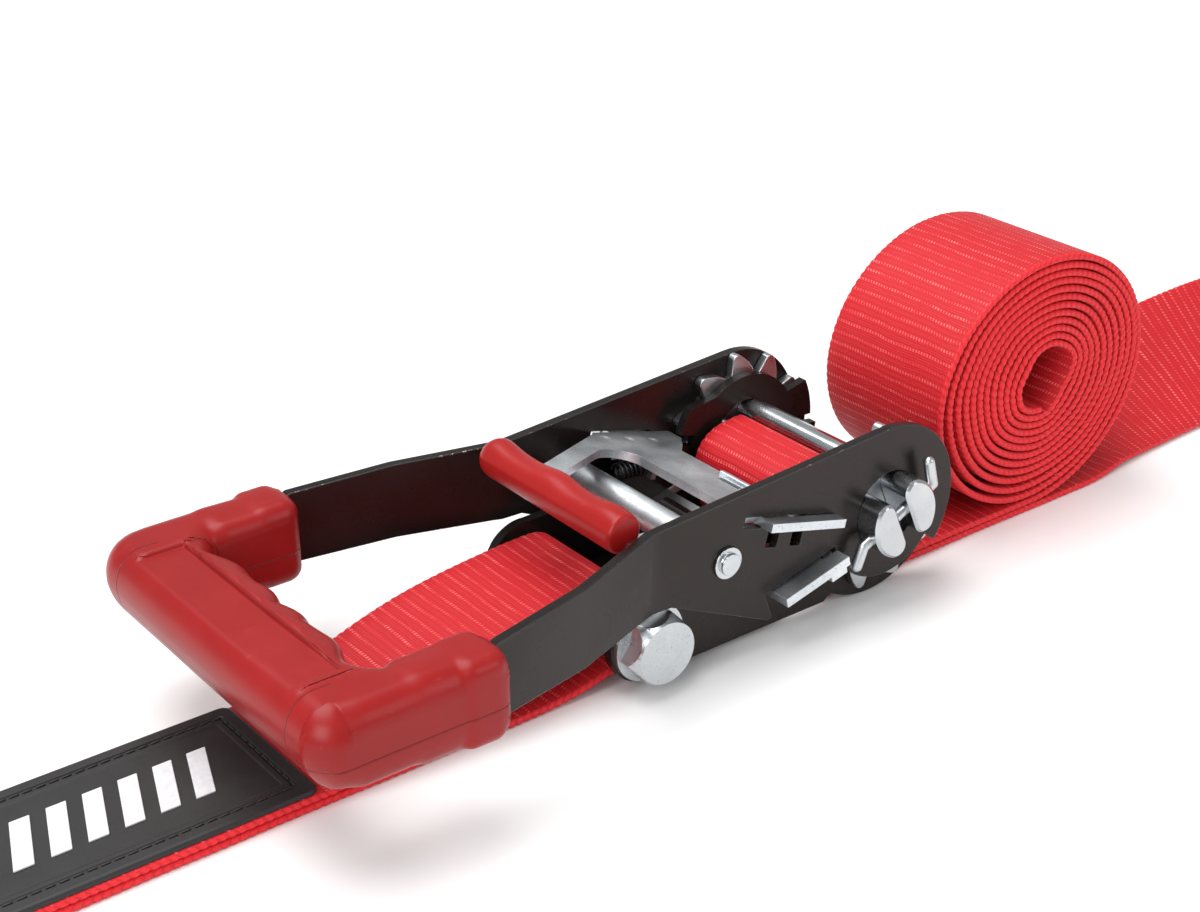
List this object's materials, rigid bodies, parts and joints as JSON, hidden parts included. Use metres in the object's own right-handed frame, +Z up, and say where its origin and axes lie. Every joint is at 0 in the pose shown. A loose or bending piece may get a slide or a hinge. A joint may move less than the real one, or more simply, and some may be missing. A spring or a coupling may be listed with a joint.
{
  "type": "ratchet tie down",
  "caption": "Long-handle ratchet buckle with folded handle, anchor strap with sewn patch, load strap threaded through the spindle, spare strap coil, and wire hook ends.",
  "frame": {"origin": "on the spindle axis, midway between the handle plates", "axes": "+Z up as it lies; +Y along the spindle towards the nut side; +X from the grip towards the load strap and its coil"},
  "size_m": [0.828, 0.116, 0.0864],
  "materials": {
    "black_enamel": "glossy black enamel on pressed steel",
    "zinc_plate": "bright zinc plate, slightly speckled",
    "spring_steel": "dark phosphated spring wire",
    "red_rubber": "moulded rubber, satin",
    "red_dip": "dipped vinyl, satin gloss",
    "red_webbing": "woven polyester webbing, light sheen",
    "black_rubber": "embossed rubber patch, matt"
  },
  "bodies": {
    "frame": {"base_frame": "black_enamel", "frame_bolt": "zinc_plate", "frame_nut": "black_enamel", "frame_washer": "zinc_plate", "bolt_sleeve": "zinc_plate", "lock_pawl_springs": "spring_steel", "load_strap": "red_webbing", "spare_tail": "red_webbing", "spare_coil": "red_webbing", "anchor_strap": "red_webbing", "label_patch": "black_rubber"},
    "spindle": {"half_shaft_rear": "zinc_plate", "half_shaft_front": "zinc_plate", "ratchet_wheel_near": "zinc_plate", "ratchet_wheel_far": "zinc_plate", "split_pins": "zinc_plate", "webbing_threaded": "red_webbing"},
    "handle": {"handle_plate_near": "black_enamel", "handle_plate_far": "black_enamel", "cross_tube": "zinc_plate", "cross_rivet": "zinc_plate", "grip_core": "zinc_plate", "handle_grip": "red_rubber", "handle_pawl_springs": "spring_steel"},
    "release_pawl": {"handle_pawl": "zinc_plate", "finger_grip": "red_dip"},
    "frame_pawl": {"lock_pawl": "zinc_plate"},
    "load_end": {"load_hook": "zinc_plate"},
    "anchor_end": {"anchor_hook": "zinc_plate"}
  },
  "joints": [
    {"name": "handle_swing", "type": "hinge", "parent": "frame", "child": "handle", "pos_m": [0, 0, 0], "axis": [0, 1, 0], "range_deg": [0, 116]},
    {"name": "spindle_turn", "type": "hinge", "parent": "frame", "child": "spindle", "pos_m": [0, 0, 0], "axis": [0, 1, 0], "range_deg": [-720, 720]},
    {"name": "release_slide", "type": "slide", "parent": "handle", "child": "release_pawl", "axis": [-0.9659, 0, 0.2588], "range_m": [-0.006, 0.001], "stiffness_N_per_m": 400, "deforming": ["handle_pawl_springs"]},
    {"name": "lock_slide", "type": "slide", "parent": "frame", "child": "frame_pawl", "axis": [-0.9711, 0, -0.2385], "range_m": [-0.0031, 0.001], "stiffness_N_per_m": 400, "deforming": ["lock_pawl_springs"]},
    {"name": "load_hook_swing", "type": "hinge", "parent": "frame", "child": "load_end", "pos_m": [0.338, 0, -0.02365], "axis": [0, 1, 0], "range_deg": [-90, 90]},
    {"name": "anchor_hook_swing", "type": "hinge", "parent": "frame", "child": "anchor_end", "pos_m": [-0.336, 0, -0.02365], "axis": [0, 1, 0], "range_deg": [-90, 90]}
  ]
}
